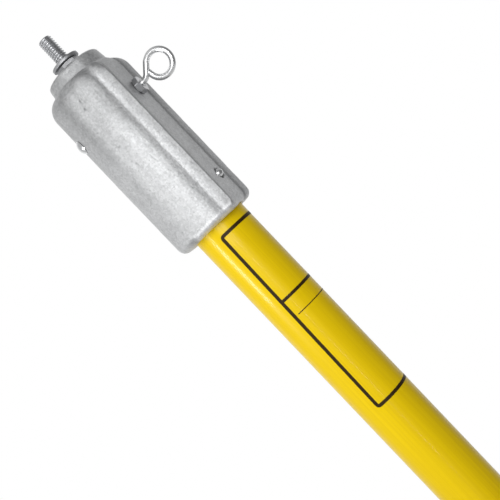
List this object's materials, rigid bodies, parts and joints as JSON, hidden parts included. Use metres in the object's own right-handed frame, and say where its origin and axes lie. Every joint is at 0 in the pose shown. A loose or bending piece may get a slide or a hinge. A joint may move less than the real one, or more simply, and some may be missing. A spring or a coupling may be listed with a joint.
{
  "type": "insulated pole",
  "caption": "Foam-filled fibreglass pole with a cast aluminium head, a threaded tool stud with a jam nut and washer, and a side eye bolt.",
  "frame": {"origin": "centre of the flat butt end of the rubber cap", "axes": "+Z along the pole to the tool stud, +X the direction that the eye bolt points in, from the pole's axis"},
  "size_m": [0.0711, 0.0482, 1.2636],
  "materials": {
    "cast_aluminium": "sand-cast, matt and grainy",
    "yellow_fibreglass": "glossy pigmented gel coat",
    "core_foam": "closed-cell foam",
    "plug_resin": "filled resin",
    "black_rubber": "moulded, matt",
    "zinc_plate": "zinc-plated, satin",
    "bright_zinc": "bright zinc plate",
    "rivet_aluminium": "bright drawn aluminium"
  },
  "bodies": {
    "pole": {"head_casting": "cast_aluminium", "pole_tube": "yellow_fibreglass", "foam_core": "core_foam", "tip_plug": "plug_resin", "butt_plug": "plug_resin", "butt_cap": "black_rubber", "tool_stud": "zinc_plate", "stud_lock_washer": "zinc_plate", "upper_rivet_left": "rivet_aluminium", "upper_rivet_back": "rivet_aluminium", "lower_rivet_front": "rivet_aluminium", "lower_rivet_back": "rivet_aluminium"},
    "washer": {"seat_washer": "zinc_plate"},
    "jam_nut": {"jam_nut": "zinc_plate"},
    "eye_bolt": {"eye_bolt": "bright_zinc"},
    "eye_nut": {"eye_lock_nut": "bright_zinc"}
  },
  "joints": [
    {"name": "jam_nut_travel", "type": "slide", "parent": "pole", "child": "washer", "axis": [0, 0, 1], "range_m": [0, 0.012]},
    {"name": "jam_nut_turn", "type": "hinge", "parent": "washer", "child": "jam_nut", "pos_m": [0, 0, 1.2439], "axis": [0, 0, 1], "range_deg": [0, 3062]},
    {"name": "eye_bolt_turn", "type": "hinge", "parent": "pole", "child": "eye_bolt", "pos_m": [0.0191, 0, 1.2108], "axis": [1, 0, 0], "range_deg": [-180, 180]},
    {"name": "eye_nut_travel", "type": "slide", "parent": "eye_bolt", "child": "eye_nut", "axis": [1, 0, 0], "range_m": [0, 0.0016]}
  ],
  "couplings": [
    {"joint": "jam_nut_turn", "follows": "jam_nut_travel", "rad_per_m": 4452.6}
  ]
}
